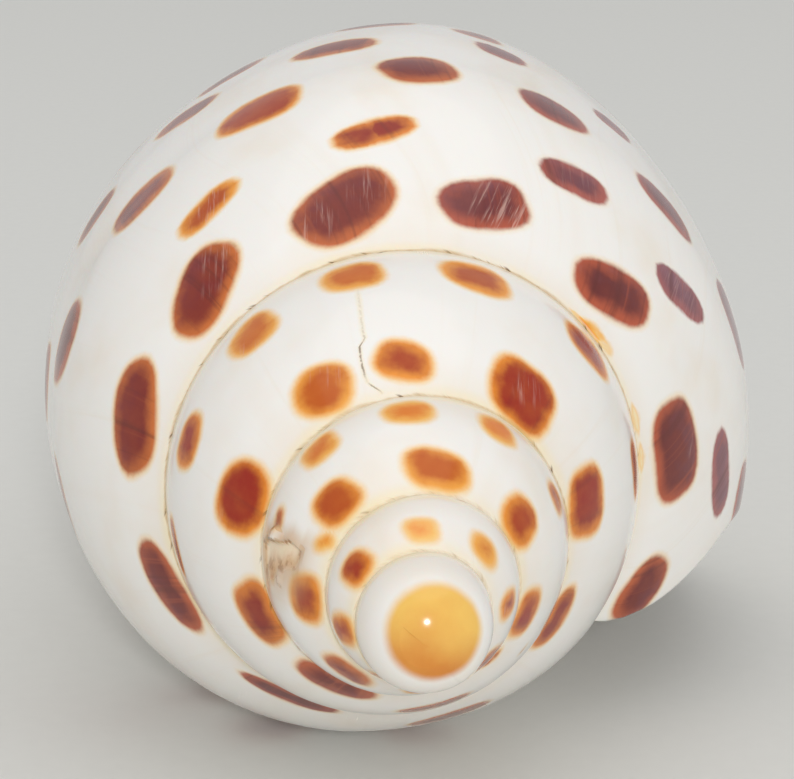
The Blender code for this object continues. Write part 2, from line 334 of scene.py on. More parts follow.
# ---------------------------------------------------------------- shape of the wall


def larger(one, other):
    """The larger of two lengths, with a smooth change from one to the other."""
    return (one**CREASE + other**CREASE) ** (1 / CREASE)


def smoothstep(value):
    value = np.clip(value, 0.0, 1.0)
    return value * value * (3 - 2 * value)


def bell(value):
    return np.exp(-(value**2))


def lengths(vectors):
    return np.linalg.norm(vectors, axis=-1, keepdims=True)


def turned(vectors, angle):
    """(radius, Z) vectors turned outwards by this angle."""
    cos, sin = math.cos(angle), math.sin(angle)
    across, along = vectors[..., 0], vectors[..., 1]
    return np.stack([across * cos - along * sin, across * sin + along * cos], -1)


def hermite(start, end, start_slope, end_slope, part):
    """Point at this part, 0 to 1, of the curve with these ends and end slopes."""
    a = 2 * part**3 - 3 * part**2 + 1
    b = part**3 - 2 * part**2 + part
    c = part**3 - part**2
    return a * start + b * start_slope + (1 - a) * end + c * end_slope


def cap_share(turn):
    """Distance from the axis as a share of the cap's radius: 1 where the suture has left the cap."""
    return np.exp(-CAP_SPIRAL * np.maximum(CAP_START - turn, 0.0))


def suture(turn):
    """(radius, Z) of the suture at these turns."""
    grown = SUTURE_RADIUS * np.exp(GROWTH_RATE * np.maximum(turn, CAP_START))
    shrink = cap_share(turn)
    level = CONE_TOP - SPIRE_SLOPE * grown + CAP_HEIGHT * np.sqrt(1 - shrink**2)
    return np.stack([larger(grown, CAP_RADIUS) * shrink, level], -1)


def lower_points(turn):
    """Points of the outline from the line that the next suture takes down to the tip, for each turn."""
    stations = np.array([UNDER_THE_LIP, HALF_A_TURN_BACK, AT_THE_LIP])
    grown = 1 + turn
    first, last = (1 - grown) * (1 - 2 * grown), grown * (2 * grown - 1)
    late = np.tensordot(np.stack([first, 1 - first - last, last], -1), stations, 1)
    centre = np.array([0.0, CONE_TOP])
    early = centre + (stations[0] - centre) * np.exp(GROWTH_RATE * grown)[:, None, None]
    reach = (np.arange(len(UNDER_THE_LIP)) / (len(UNDER_THE_LIP) - 1)) ** 2
    early[..., 1] += reach * (UNDER_THE_LIP[-1][1] - early[:, -1:, 1])
    early[:, 0] = suture(turn + 1)
    points = np.where((turn >= -1)[:, None, None], late, early)
    columella = COLUMELLA_TIP + COLUMELLA_TAPER * (points[:, 1:, 1] - UNDER_THE_LIP[-1][1])
    points[:, 1:, 0] = larger(points[:, 1:, 0], columella)
    return points


def wall_slopes(turn, chord):
    """Slopes of the wall where it leaves one suture and where it reaches the next."""
    whorl = smoothstep((turn - CAP_START) / CAP_BLEND)[:, None]
    slopes = []
    for share, angle in ((cap_share(turn), WHORL_BULGE), (cap_share(turn + 1), -WHORL_BULGE)):
        on_cap = np.stack([CAP_RADIUS * np.sqrt(1 - share**2), -CAP_HEIGHT * share], -1)
        on_cap = on_cap / lengths(on_cap)
        slopes.append((1 - whorl) * lengths(chord) * on_cap + whorl * turned(chord, angle))
    return slopes


def curve_through(points, start_slope, part):
    """Points at these parts, 0 to 1, of a smooth curve through each row of points."""
    spans = points.shape[1] - 1
    index = np.minimum((part * spans).astype(int), spans - 1)
    slopes = np.empty_like(points)
    slopes[:, 0] = start_slope
    slopes[:, 1:-1] = (points[:, 2:] - points[:, :-2]) / 2
    slopes[:, -1] = points[:, -1] - points[:, -2]
    row = np.arange(len(points))[:, None]
    ends = points[row, index], points[row, index + 1]
    return hermite(*ends, slopes[row, index], slopes[row, index + 1], (part * spans - index)[..., None])


def as_grid(turn, part):
    """The turns as one axis and the parts across each turn's section as the other."""
    turn = np.atleast_1d(np.asarray(turn, float))
    part = np.asarray(part, float)
    return turn, np.broadcast_to(part, (len(turn), part.shape[-1]))


def outline(turn, part):
    """(radius, Z) on the smooth outer face: part is 0 at the suture, 1 at the next one and 2 at the tip."""
    turn, part = as_grid(turn, part)
    start = suture(turn)
    points = lower_points(turn)
    chord = points[:, 0] - start
    leaving, arriving = wall_slopes(turn, chord)
    share = np.clip(part, 0, 1)[..., None]
    upper = hermite(start[:, None], points[:, :1], leaving[:, None], arriving[:, None], share)
    start_slope = arriving * lengths(points[:, 1] - points[:, 0]) / lengths(chord)
    lower = curve_through(points, start_slope, np.clip(part - 1, 0, 1))
    point = np.where(part[..., None] <= 1, upper, lower)
    swelling = sum(height * bell((turn - middle) / width) for middle, width, height in SWELLINGS)
    point[..., 0] += swelling[:, None] * np.sin(math.pi * part / 2) ** 2
    return point


def sweep(turn, part):
    """How far the growth lines fall back from the suture, in turns."""
    turn, part = as_grid(turn, part)
    back = LIP_SWEEP * np.sin(math.pi * part / 2) ** 2
    forward = LIP_REACH * np.sin(math.pi * np.clip(part - 1, 0, 1)) ** 2
    worn = wander(part, 40.0, LIP_SEED) * wander(part, 9.0, LIP_SEED + 1) * LIP_WEAR
    on_edge = smoothstep(1 + turn / LIP_EDGE)[:, None]
    return smoothstep(1 + turn)[:, None] * (back + forward) + on_edge * worn


def inwards(turn, part):
    """Direction, in the section, from the outer face into the wall."""
    along = outline(turn, np.minimum(part + NEAR, 2.0)) - outline(turn, np.maximum(part - NEAR, 0.0))
    return np.stack([along[..., 1], -along[..., 0]], -1) / lengths(along)


def wall_thickness(turn, part):
    """Full inside, thinner at the lip's edge, and drawn out to nothing where the lip meets the suture."""
    turn, part = as_grid(turn, part)
    inside = smoothstep(-turn / LIP_TAPER)[:, None]
    edge = shell_sizes().lip_wall / MM * smoothstep(part / LIP_START)
    return edge + (WALL - edge) * inside


def edge_inset(turn, part):
    """How far each face of the wall draws in to round off the lip and the tip."""
    turn, part = as_grid(turn, part)
    to_lip = -turn[:, None] * LIP_MM_PER_TURN
    to_tip = (2 - part) * TIP_MM_PER_PART
    share = np.clip(1 - np.minimum(to_lip, to_tip) / EDGE_ROUND, 0, 1)
    return wall_thickness(turn, part) * (1 - EDGE_LEFT) / 2 * (1 - np.sqrt(1 - share**2))


def outer_face(turn, part):
    """(radius, Z) on the outer face, with its rounded edges, its bead and the broken place."""
    turn, part = as_grid(turn, part)
    inset = np.where((turn >= -1)[:, None], edge_inset(turn, part), 0.0)
    inset = inset - suture_bead(turn, part) - scar(turn, part)[0]
    return outline(turn, part) + inwards(turn, part) * inset[..., None]


def inner_face(turn, part):
    """(radius, Z) on the wall's inner face, under the same part of the outer face."""
    inset = wall_thickness(turn, part) - edge_inset(turn, part)
    return outline(turn, part) + inwards(turn, part) * inset[..., None]


def pillar_face(turn, part):
    """(radius, Z) on the inner side of the hollow: the whorl before it, then the folded columella."""
    turn, part = as_grid(turn, part)
    point = outline(turn - 1, 1 + part)
    inside = smoothstep(-turn / CALLUS_TAPER)[:, None]
    scale = np.exp(GROWTH_RATE * turn)[:, None]
    level = CONE_TOP + (point[..., 1] - CONE_TOP) / scale
    folds = sum(bell((level - middle) / FOLD_WIDTH) for middle in FOLD_LEVELS)
    point[..., 0] += inside * (CALLUS + shell_sizes().fold_height / MM * scale * folds)
    inset = np.where(part > 0.5, edge_inset(np.full_like(turn, -0.5), 1 + part), 0.0)
    point[..., 0] -= inset
    return point


def from_suture(turn, part):
    """Distances, in millimetres, below a whorl's own suture and above the next one, where there is one."""
    turn, part = as_grid(turn, part)
    across = lengths(suture(turn + 1) - suture(turn))
    on_cap = smoothstep((CAP_START - turn) / CAP_BLEND)[:, None]
    next_on_cap = smoothstep((CAP_START - 1 - turn) / CAP_BLEND)[:, None]
    below = part * across - FAR * on_cap
    above = (1 - part) * across - FAR * next_on_cap
    return below, np.where(turn[:, None] < -1, above, -FAR)


def suture_bead(turn, part):
    """Height of the low uneven bead where a whorl laps over the one before, and of the hollow above it."""
    turn, part = as_grid(turn, part)
    below, above = from_suture(turn, part)
    uneven = 1 + BEAD_UNEVEN * wander(turn, 45.0, BEAD_SEED)[:, None]
    from_lip = smoothstep(-turn / BEAD_END)[:, None]
    before_last = smoothstep((-1 - turn) / BEAD_END)[:, None]
    bead = (1 - np.exp(-below / BEAD_RISE)) * np.exp(-below / BEAD_FALL)
    dip = bell((above - DIP_PLACE) / DIP_WIDTH)
    return shell_sizes().bead / MM * (from_lip * bead * uneven - before_last * DIP_SHARE * dip)


def from_ledge(turn, part):
    """Millimetres ahead of the broken place's ragged ledge, and the share of the way along it."""
    (first_turn, first_part), (last_turn, last_part) = SCAR_LEDGE
    share = (part - first_part) / (last_part - first_part)
    per_turn = TURN * suture((first_turn + last_turn) / 2 + 0.5)[0]
    ahead = (turn[:, None] - first_turn - (last_turn - first_turn) * share) * per_turn
    return ahead + SCAR_RAGGED * wander(share, 14.0, SCAR_SEED), share


def scar(turn, part):
    """Rise of the broken and healed place in millimetres, and how far it is broken: SCAR_STAIN_AND_SHADE
    where it has only the tan stain, which behind the ledge is partly painted shade, and 1 where rough shell
    is laid bare."""
    turn, part = as_grid(turn, part)
    ahead, share = from_ledge(turn, part)
    ending = smoothstep((1.1 - share) / 0.2)
    across = smoothstep(share / 0.25) * ending
    drop = smoothstep((SCAR_DROP / 2 - ahead) / SCAR_DROP) * across
    healed = smoothstep((ahead + SCAR_FALL) / SCAR_FALL)
    rim = bell((ahead - SCAR_RIM_PLACE) / SCAR_RIM_WIDTH) * across
    rise = SCAR_RIM * rim - SCAR_DEPTH * drop * healed
    bare = drop * np.clip(1 + ahead / (SCAR_FALL * (0.6 + 0.5 * share)), 0, 1)
    # Tan stain from just ahead of the ledge back into the sunken part, where it is partly painted shade in
    # the recess.
    stain_and_shade = smoothstep((1.0 - ahead) / 0.9) * smoothstep((ahead + 1.6 * SCAR_FALL) / SCAR_FALL)
    stain_and_shade = stain_and_shade * smoothstep((share + 0.3) / 0.6) * ending
    broken = np.maximum(bare, SCAR_STAIN_AND_SHADE * stain_and_shade)
    edge = 1 + 0.15 * wander(share * 4 + ahead, 4.0, SCAR_SEED + 4)
    for middle, half, along, half_along, height, stain in SCAR_FLAKES:
        away = np.hypot((ahead - middle) / half, (share - along) / half_along)
        inside = smoothstep((edge - away) / 0.3) * across
        rise = rise + height * inside
        # A ring round each flake, which the brown line colours: partly painted shadow in the gap round the
        # flake.
        broken = np.maximum(broken, 2 * inside * (1 - inside))
        broken = broken + (stain - broken) * smoothstep(inside * 2 - 1)
    return rise, broken


def wander(values, frequency, seed):
    """A smooth, seeded, repeatable wander between about -1 and 1."""
    draw = np.random.default_rng(seed)
    total = np.zeros_like(values)
    for octave in range(4):
        phase, stretch = draw.uniform(0, TURN), draw.uniform(0.8, 1.25)
        total += np.sin(values * frequency * stretch * 1.9**octave + phase) / 1.5**octave
    return total / 2.2


def hollow_ends(turns):
    """Where the hollow's two sides meet, top and bottom, for each turn: parts of the two faces."""
    pillar_parts = np.linspace(0, 1, SECTION_STEPS + 1)
    wall_parts = np.linspace(0, 2, 2 * SECTION_STEPS + 1)
    ends = []
    faces = inner_face(turns, wall_parts), pillar_face(turns, pillar_parts)
    for turn, wall, pillar in zip(turns, *faces):
        if turn == 0:
            ends.append(((0.0, 0.0), (2.0, 1.0), True))
            continue
        gap = wall[:, 0] - np.interp(-wall[:, 1], -pillar[:, 1], pillar[:, 0])
        first = max(int(np.argmax(gap > 0)), 1)
        closed_below = gap[first:] < 0
        is_open = not closed_below.any()
        last = len(gap) - 1 if is_open else first + int(np.argmax(closed_below))
        meetings = []
        for index in (first, last):
            share = gap[index - 1] / (gap[index - 1] - gap[index])
            wall_part = wall_parts[index - 1] + share * (wall_parts[index] - wall_parts[index - 1])
            level = wall[index - 1][1] + share * (wall[index][1] - wall[index - 1][1])
            meetings.append((wall_part, np.interp(-level, -pillar[:, 1], pillar_parts)))
        ends.append((meetings[0], (2.0, 1.0) if is_open else meetings[1], is_open))
    return ends


# ---------------------------------------------------------------- markings on the wall


def unwound(turn, section):
    """Unrolled point: radius and level as shares of the spiral's size here, with the turn between them."""
    size = np.exp(GROWTH_RATE * turn)
    return np.stack([section[..., 0] / size, turn, (section[..., 1] - CONE_TOP) / size], -1)


def wound(turn, section):
    """Point in space of a (radius, Z) section point at this turn."""
    angle = -TURN * turn
    radius, level = section[..., 0], section[..., 1]
    return np.stack([radius * np.cos(angle), radius * np.sin(angle), level], -1)


def rolled_up(points):
    """Points in space of a list of unrolled points, with their levels counted from the cone's top."""
    turn = points[:, 1]
    return wound(turn, points[:, ::2] * np.exp(GROWTH_RATE * turn)[:, None])


def smooth_point(turn, part):
    """Points in space on the smooth outer face, over a grid."""
    grid_turn = np.atleast_1d(np.asarray(turn, float))[:, None] + sweep(turn, part)
    return wound(grid_turn, outline(turn, part))


def all_spots():
    """Every spot as (turn, part, half length, half height, tilt, tone), in a fixed order."""
    spots = [(-back / 360, *spot) for back, *spot in SPOTS]
    draw = np.random.default_rng(SPOT_SEED)
    for part, gap, half_length, half_height in LOWER_SPOTS:
        turn = draw.uniform(-0.06, -0.02)
        while turn > LOWER_SPOTS_END:
            here = smooth_point([turn, turn - 0.01], np.array([part]))[:, 0]
            step = gap / (np.linalg.norm(here[1] - here[0]) / 0.01)
            shrink = 1 - 0.3 * smoothstep(-turn)
            spots.append(
                (
                    turn + draw.uniform(-0.12, 0.12) * step,
                    part + draw.uniform(-0.012, 0.012),
                    half_length * shrink * draw.uniform(0.85, 1.1),
                    half_height * shrink * draw.uniform(0.85, 1.1),
                    draw.uniform(-16, 16),
                    draw.uniform(0.0, 0.3),
                )
            )
            turn -= step
    return spots


def spot_axes(turn, part):
    """The middle of a spot, and unit vectors from there along the growth and down the wall."""
    places = smooth_point([turn, turn + SPOT_STEP], np.array([part, part + SPOT_STEP]))
    along = places[1, 0] - places[0, 0]
    along /= np.linalg.norm(along)
    down = places[0, 1] - places[0, 0]
    down -= along * (down @ along)
    return places[0, 0], along, down / np.linalg.norm(down)


def spot_ratio(x, y, lobes, phases):
    """1 on the edge of a squarish, slightly lobed spot of half size 1, and less inside it."""
    ratio = (np.abs(x) ** SPOT_SQUARENESS + np.abs(y) ** SPOT_SQUARENESS) ** (1 / SPOT_SQUARENESS)
    angle = np.arctan2(y, x)
    waves = enumerate(zip(lobes, phases), 2)
    return ratio / (1 + sum(lobe * np.cos(order * angle + phase) for order, (lobe, phase) in waves))


def spot_fields(turn, part):
    """Over a grid, millimetres inside the nearest spot's edge, its tone, and the place across it."""
    turn, part = as_grid(turn, part)
    fields = [np.full(part.shape, FAR), np.full(part.shape, 0.5), np.zeros(part.shape)]
    points = smooth_point(turn, part)
    draw = np.random.default_rng(SPOT_SEED)
    for middle, across, half_length, half_height, tilt, tone in all_spots():
        lobes = draw.uniform(0.01, 0.035, 3) * (1, 1, 0.6)
        phases = draw.uniform(0, TURN, 3)
        near = np.abs(turn - middle) < SPOT_REACH
        if not near.any():
            continue
        centre, along, down = spot_axes(middle, across)
        away = points[near] - centre
        cos, sin = math.cos(math.radians(tilt)), math.sin(math.radians(tilt))
        ahead, under = away @ along, away @ down
        x, y = ahead * cos + under * sin, under * cos - ahead * sin
        ratio = spot_ratio(x / half_length, y / half_height, lobes, phases)
        radius = np.where(ratio < 1e-3, half_height, np.hypot(x, y) / np.maximum(ratio, 1e-6))
        depth = (1 - ratio) * radius
        best = depth > fields[0][near]
        for field, value in zip(fields, (depth, tone, np.clip(y / half_height, -2, 2))):
            field[near] = np.where(best, value, field[near])
    return fields


def worn_field(turn, part):
    """How worn the glaze is by fine scratches, over a grid: up to 1, or down to -1 where they lean."""
    turn, part = as_grid(turn, part)
    points = smooth_point(turn, part)
    worn = np.zeros(part.shape)
    for back, across, radius, wear in WORN_PLACES:
        away = lengths(points - smooth_point([-back / 360], np.array([across]))[0, 0])[..., 0]
        here = smoothstep(1.4 - away / radius) * wear
        worn = np.where(np.abs(here) > np.abs(worn), here, worn)
    return worn


def crack_fields(turn, part):
    """Distance ahead of the healed crack in millimetres, and the crack's darkness, over a grid."""
    turn, part = as_grid(turn, part)
    parts, turns, darkness = np.array(CRACK).T
    per_turn = TURN * suture(turns.mean() + 0.5)[0]
    ahead = (turn[:, None] - np.interp(part, parts, turns)) * per_turn
    near = np.abs(turn - turns.mean())[:, None] < CRACK_REACH
    return np.clip(ahead, FAR, -FAR), np.where(near, np.interp(part, parts, darkness), 0.0)


# ---------------------------------------------------------------- the unrolled sheet


class Skin:
    """Grids of vertices and the quads between them, with values kept for each face corner."""

    FIELDS = ("growth", "spot", "tone", "lean", "seam", "inside", "broken", "crack", "dark", "worn")
    PLAIN = {
        "spot": FAR,
        "tone": 0.5,
        "lean": 0.0,
        "seam": -FAR,
        "broken": 0.0,
        "crack": FAR,
        "dark": 0.0,
        "worn": 0.0,
    }

    def __init__(self):
        self.points = []
        self.count = 0
        self.faces = []
        self.values = {name: [] for name in self.FIELDS}

    def add_points(self, points):
        """The numbers of these new vertices, in one row."""
        points = points.reshape(-1, 3)
        self.points.append(points)
        self.count += len(points)
        return np.arange(self.count - len(points), self.count)

    def add_faces(self, corners, values):
        """Faces with these vertices, and each field's value at each of their corners."""
        self.faces += corners.tolist()
        for name in self.FIELDS:
            self.values[name].append(np.broadcast_to(values[name], corners.shape).ravel())

    def add_grid(self, vertices, values, flipped=False):
        """Quads over a grid of vertices, or triangles where two of a quad's corners are one vertex."""
        order = ((0, 0), (0, 1), (1, 1), (1, 0)) if flipped else ((0, 0), (1, 0), (1, 1), (0, 1))

        def corners_of(grid):
            grid = np.broadcast_to(grid, vertices.shape)
            rows, columns = vertices.shape
            cut = [grid[a : rows - 1 + a, b : columns - 1 + b].ravel() for a, b in order]
            return np.stack(cut, -1)

        corners = corners_of(vertices)
        values = {name: corners_of(values[name]) for name in self.FIELDS}
        doubled = corners == np.roll(corners, -1, axis=1)
        whole = ~doubled.any(1)
        self.add_faces(corners[whole], {name: value[whole] for name, value in values.items()})
        for index in np.flatnonzero(~whole & (doubled.sum(1) == 1)):
            keep = ~doubled[index]
            row = {name: value[index][keep][None] for name, value in values.items()}
            self.add_faces(corners[index][keep][None], row)

    def make_mesh(self, name):
        """The mesh so far, with each field as an attribute of its face corners."""
        mesh = bpy.data.meshes.new(name)
        mesh.from_pydata(np.concatenate(self.points).tolist(), [], self.faces)
        for field in self.FIELDS:
            attribute = mesh.attributes.new(field, "FLOAT", "CORNER")
            attribute.data.foreach_set("value", np.concatenate(self.values[field]).astype(np.float32))
        return mesh


def slowing(steps, count):
    """Shares of the way after these steps out of this count, which shorten towards the end."""
    return np.sin(math.pi / 2 * steps / count)


def mesh_rows():
    """Parts of the rows: closer near the sutures and at the tip."""
    even = np.arange(SPIRE_ROWS) / SPIRE_ROWS
    upper = (1 - ROW_CROWDING) * even + ROW_CROWDING * (1 - np.cos(math.pi * even)) / 2
    lower = 1 + np.arange(LOWER_ROWS) / LOWER_ROWS
    tip = slowing(np.arange(1, TIP_STEPS + 1), TIP_STEPS)
    return np.concatenate([upper, lower, lower[-1] + tip / LOWER_ROWS])


def column_turns():
    """Turns of the outer sheet's columns, alike in each whorl, and closer at the lip and the broken place."""
    even = np.arange(STEPS_PER_TURN - 1) / STEPS_PER_TURN
    extra = np.linspace(*SCAR_SHARES, SCAR_STEPS + 2)[1:-1]
    even = np.sort(np.concatenate([even, extra]))
    edge = slowing(np.arange(1, LIP_STEPS), LIP_STEPS)
    steps = np.concatenate([even, even[-1] + edge * 2 / STEPS_PER_TURN])
    whorls = np.arange(math.floor(FIRST_TURN), 0)
    turns = (whorls[:, None] + steps).ravel()
    return np.append(turns[turns >= FIRST_TURN], 0.0), len(steps)


def growth_length(turn):
    """Length grown by the suture up to this turn, in millimetres; it stands still on the first whorl."""
    return TURN * SUTURE_RADIUS / GROWTH_RATE * np.exp(GROWTH_RATE * np.maximum(turn, CAP_START))


def fields_over(turn, part, inside):
    """The markings over a grid: inside is 0 on the outer face, 1 on the inner face and 2 on the pillar."""
    turn, part = as_grid(turn, part)
    values = dict(Skin.PLAIN, inside=float(inside > 0))
    values["growth"] = np.broadcast_to(growth_length(turn)[:, None], part.shape)
    if inside < 2:
        values["spot"], values["tone"], values["lean"] = spot_fields(turn, part)
    if inside == 0:
        below, above = from_suture(turn, part)
        values["seam"] = np.clip(np.minimum(below, above), 0.0, -FAR)
        values["broken"] = scar(turn, part)[1]
        values["crack"], values["dark"] = crack_fields(turn, part)
        values["worn"] = worn_field(turn, part)
    return values


def add_outer_sheet(skin):
    """Columns of vertices from the cap to the lip. A whorl's last spire row is the next whorl's suture."""
    turns, period = column_turns()
    rows = mesh_rows()
    spire = rows[: SPIRE_ROWS + 1]
    is_last = turns >= -1 - 1e-9
    columns = np.full((len(turns), len(rows)), -1)
    for chosen, parts in ((~is_last, spire[1:]), (is_last, rows[1:])):
        swept = turns[chosen, None] + sweep(turns[chosen], parts)
        points = unwound(swept, outer_face(turns[chosen], parts))
        columns[chosen, 1 : len(parts) + 1] = skin.add_points(points).reshape(points.shape[:2])
    firsts = skin.add_points(unwound(turns[:period, None], outer_face(turns[:period], spire[:1])))
    columns[:period, 0] = firsts
    columns[period:, 0] = columns[:-period, SPIRE_ROWS]
    skin.add_grid(columns[:, : SPIRE_ROWS + 1], fields_over(turns, spire, 0))
    skin.add_grid(columns[is_last, SPIRE_ROWS:], fields_over(turns[is_last], rows[SPIRE_ROWS:], 0))
    cap_level = CONE_TOP * (1 - math.exp(GROWTH_RATE * CAP_START)) + CAP_HEIGHT
    rim = np.concatenate([columns[: period + 1, 0], columns[0, SPIRE_ROWS - 1 : 0 : -1]])
    top = unwound(np.array(FIRST_TURN), np.array([0.0, cap_level]))
    add_fan(skin, rim, skin.add_points(top)[0], 0)
    return columns, period


def add_fan(skin, rim, middle, inside):
    """Triangles from a closed rim of vertices to the one in its middle."""
    corners = np.stack([np.roll(rim, -1), rim, np.full_like(rim, middle)], -1)
    skin.add_faces(corners, dict(Skin.PLAIN, growth=growth_length(FIRST_TURN), inside=inside))


def hollow_turns():
    """Turns of the hollow's rings, from the lip's edge inwards, with finer steps at the edge."""
    edge = 2 / STEPS_PER_TURN * (1 - slowing(np.arange(LIP_STEPS, -1, -1), LIP_STEPS))
    further = edge[-1] + np.arange(1, round(HOLLOW_TURNS * HOLLOW_STEPS)) / HOLLOW_STEPS
    return -np.concatenate([edge, further])


def add_hollow(skin, columns, period):
    """The hollow's skin from the aperture inwards: the wall's inner face, then the pillar."""
    turns = hollow_turns()
    tops, bottoms, is_open = (np.array(values) for values in zip(*hollow_ends(turns)))
    rows = mesh_rows()
    wall_parts = tops[:, :1] + (bottoms[:, :1] - tops[:, :1]) * rows / 2
    swept = turns[:, None] + sweep(turns, wall_parts)
    wall_points = unwound(swept, inner_face(turns, wall_parts))
    pillar_parts = tops[:, 1:] + (bottoms[:, 1:] - tops[:, 1:]) * (rows[SPIRE_ROWS:] - 1)
    unswept = np.broadcast_to(turns[:, None], pillar_parts.shape)
    pillar_points = unwound(unswept, pillar_face(turns, pillar_parts))
    wall_points[1:, 0, 1] = turns[1:]

    wall = np.empty(wall_parts.shape, int)
    wall[0, 0] = columns[-1, 0]
    wall[0, 1:] = skin.add_points(wall_points[0, 1:])
    wall[1:] = skin.add_points(wall_points[1:]).reshape(wall[1:].shape)
    pillar = np.empty(pillar_parts.shape, int)
    pillar[0] = columns[-1 - period, SPIRE_ROWS:]
    pillar[1:, 0] = wall[1:, 0]
    pillar[1:, 1:-1] = skin.add_points(pillar_points[1:, 1:-1]).reshape(pillar[1:, 1:-1].shape)
    pillar[1:, -1] = wall[1:, -1]
    open_rings = np.flatnonzero(is_open[1:]) + 1
    pillar[open_rings, -1] = skin.add_points(pillar_points[open_rings, -1])

    skin.add_grid(wall, fields_over(turns, wall_parts, 1))
    skin.add_grid(pillar, fields_over(turns, 1 + pillar_parts, 2), flipped=True)
    rim = np.concatenate([wall[-1], pillar[-1, -2:0:-1]])
    middle = np.concatenate([wall_points[-1], pillar_points[-1, -2:0:-1]]).mean(0)
    add_fan(skin, rim, skin.add_points(middle)[0], 1)
    return wall, pillar, is_open


def close_rim(skin, columns, period, wall, pillar, is_open):
    """The lip's edge, then the end face round the siphonal canal."""
    rows = mesh_rows()
    skin.add_grid(np.stack([columns[-1], wall[0]]), fields_over([0.0, 0.0], rows, 1))
    outer = columns[: -2 - period : -1, -1]
    last_open = int(np.flatnonzero(is_open)[-1])
    inner = np.concatenate([wall[: last_open + 2, -1], pillar[last_open::-1, -1]])
    zip_chains(skin, outer, inner)


def zip_chains(skin, one, other):
    """Triangles between two chains of vertices that end in the same vertex."""
    points = np.concatenate(skin.points)
    shares = []
    for chain in (one, other):
        steps = np.linalg.norm(np.diff(rolled_up(points[chain]), axis=0), axis=1)
        shares.append(np.concatenate([[0.0], np.cumsum(steps) / steps.sum()]))
    a = b = 0
    faces = []
    while a < len(one) - 1 or b < len(other) - 1:
        other_is_done = b == len(other) - 1
        if other_is_done or (a < len(one) - 1 and shares[0][a + 1] <= shares[1][b + 1]):
            corners = [one[a], other[b], one[a + 1]]
            a += 1
        else:
            corners = [one[a], other[b], other[b + 1]]
            b += 1
        if len(set(corners)) == 3:
            faces.append(corners)
    skin.add_faces(np.array(faces), dict(Skin.PLAIN, growth=growth_length(0.0), inside=1.0))


# ---------------------------------------------------------------- node trees


class Value:
    """What a socket gives, in a node tree. Arithmetic on it adds Math nodes."""

    def __init__(self, tree, socket):
        self.tree = tree
        self.socket = socket

    def __add__(self, other):
        return self.tree.math("ADD", self, other)

    def __radd__(self, other):
        return self.tree.math("ADD", other, self)

    def __sub__(self, other):
        return self.tree.math("SUBTRACT", self, other)

    def __rsub__(self, other):
        return self.tree.math("SUBTRACT", other, self)

    def __mul__(self, other):
        return self.tree.math("MULTIPLY", self, other)

    def __rmul__(self, other):
        return self.tree.math("MULTIPLY", other, self)

    def __abs__(self):
        return self.tree.math("ABSOLUTE", self)

    def smooth(self, low, high):
        """0 at low and 1 at high, with a smooth change between; low may be the larger of the two."""
        settings = {"interpolation_type": "SMOOTHSTEP"}
        return self.tree.value("ShaderNodeMapRange", settings, {0: self, 1: low, 2: high})


class Tree:
    """A node tree, with short ways to add nodes to it."""

    def __init__(self, nodes):
        self.nodes = nodes.nodes
        self.links = nodes.links

    def node(self, kind, settings=None, sockets=None):
        """A new node: its settings come first, then its sockets' values or links."""
        node = self.nodes.new(kind)
        for name, value in (settings or {}).items():
            setattr(node, name, value)
        self.feed(node, sockets or {})
        return node

    def feed(self, node, sockets):
        """Set or link these sockets of a node."""
        for key, value in sockets.items():
            value = getattr(value, "socket", value)
            if isinstance(value, bpy.types.NodeSocket):
                self.links.new(value, node.inputs[key])
            else:
                node.inputs[key].default_value = value

    def value(self, kind, settings=None, sockets=None, output=0):
        return Value(self, self.node(kind, settings, sockets).outputs[output])

    def math(self, operation, *values):
        return self.value("ShaderNodeMath", {"operation": operation}, dict(enumerate(values)))

    def vector(self, x, y, z):
        return self.value("ShaderNodeCombineXYZ", None, {0: x, 1: y, 2: z})

    def vectors(self, operation, one, other):
        key = "Scale" if operation == "SCALE" else 1
        return self.value("ShaderNodeVectorMath", {"operation": operation}, {0: one, key: other})

    def noise(self, vector, scale, detail=2.0, roughness=0.5):
        """Noise about 0, no more than half either way."""
        sockets = {"Vector": vector, "Scale": scale, "Detail": detail, "Roughness": roughness}
        return self.value("ShaderNodeTexNoise", {"noise_dimensions": "3D"}, sockets) - 0.5

    def mix(self, factor, one, other):
        """Colour from one, at 0, to the other, at 1. Each is a colour in the tree or a plain one."""
        one, other = (end if isinstance(end, Value) else (*end, 1.0) for end in (one, other))
        return self.value("ShaderNodeMix", {"data_type": "RGBA"}, {0: factor, 6: one, 7: other}, 2)


def new_material(name):
    """A new material, and its shader."""
    material = bpy.data.materials.new(name)
    material.use_nodes = True
    return material, material.node_tree.nodes["Principled BSDF"]


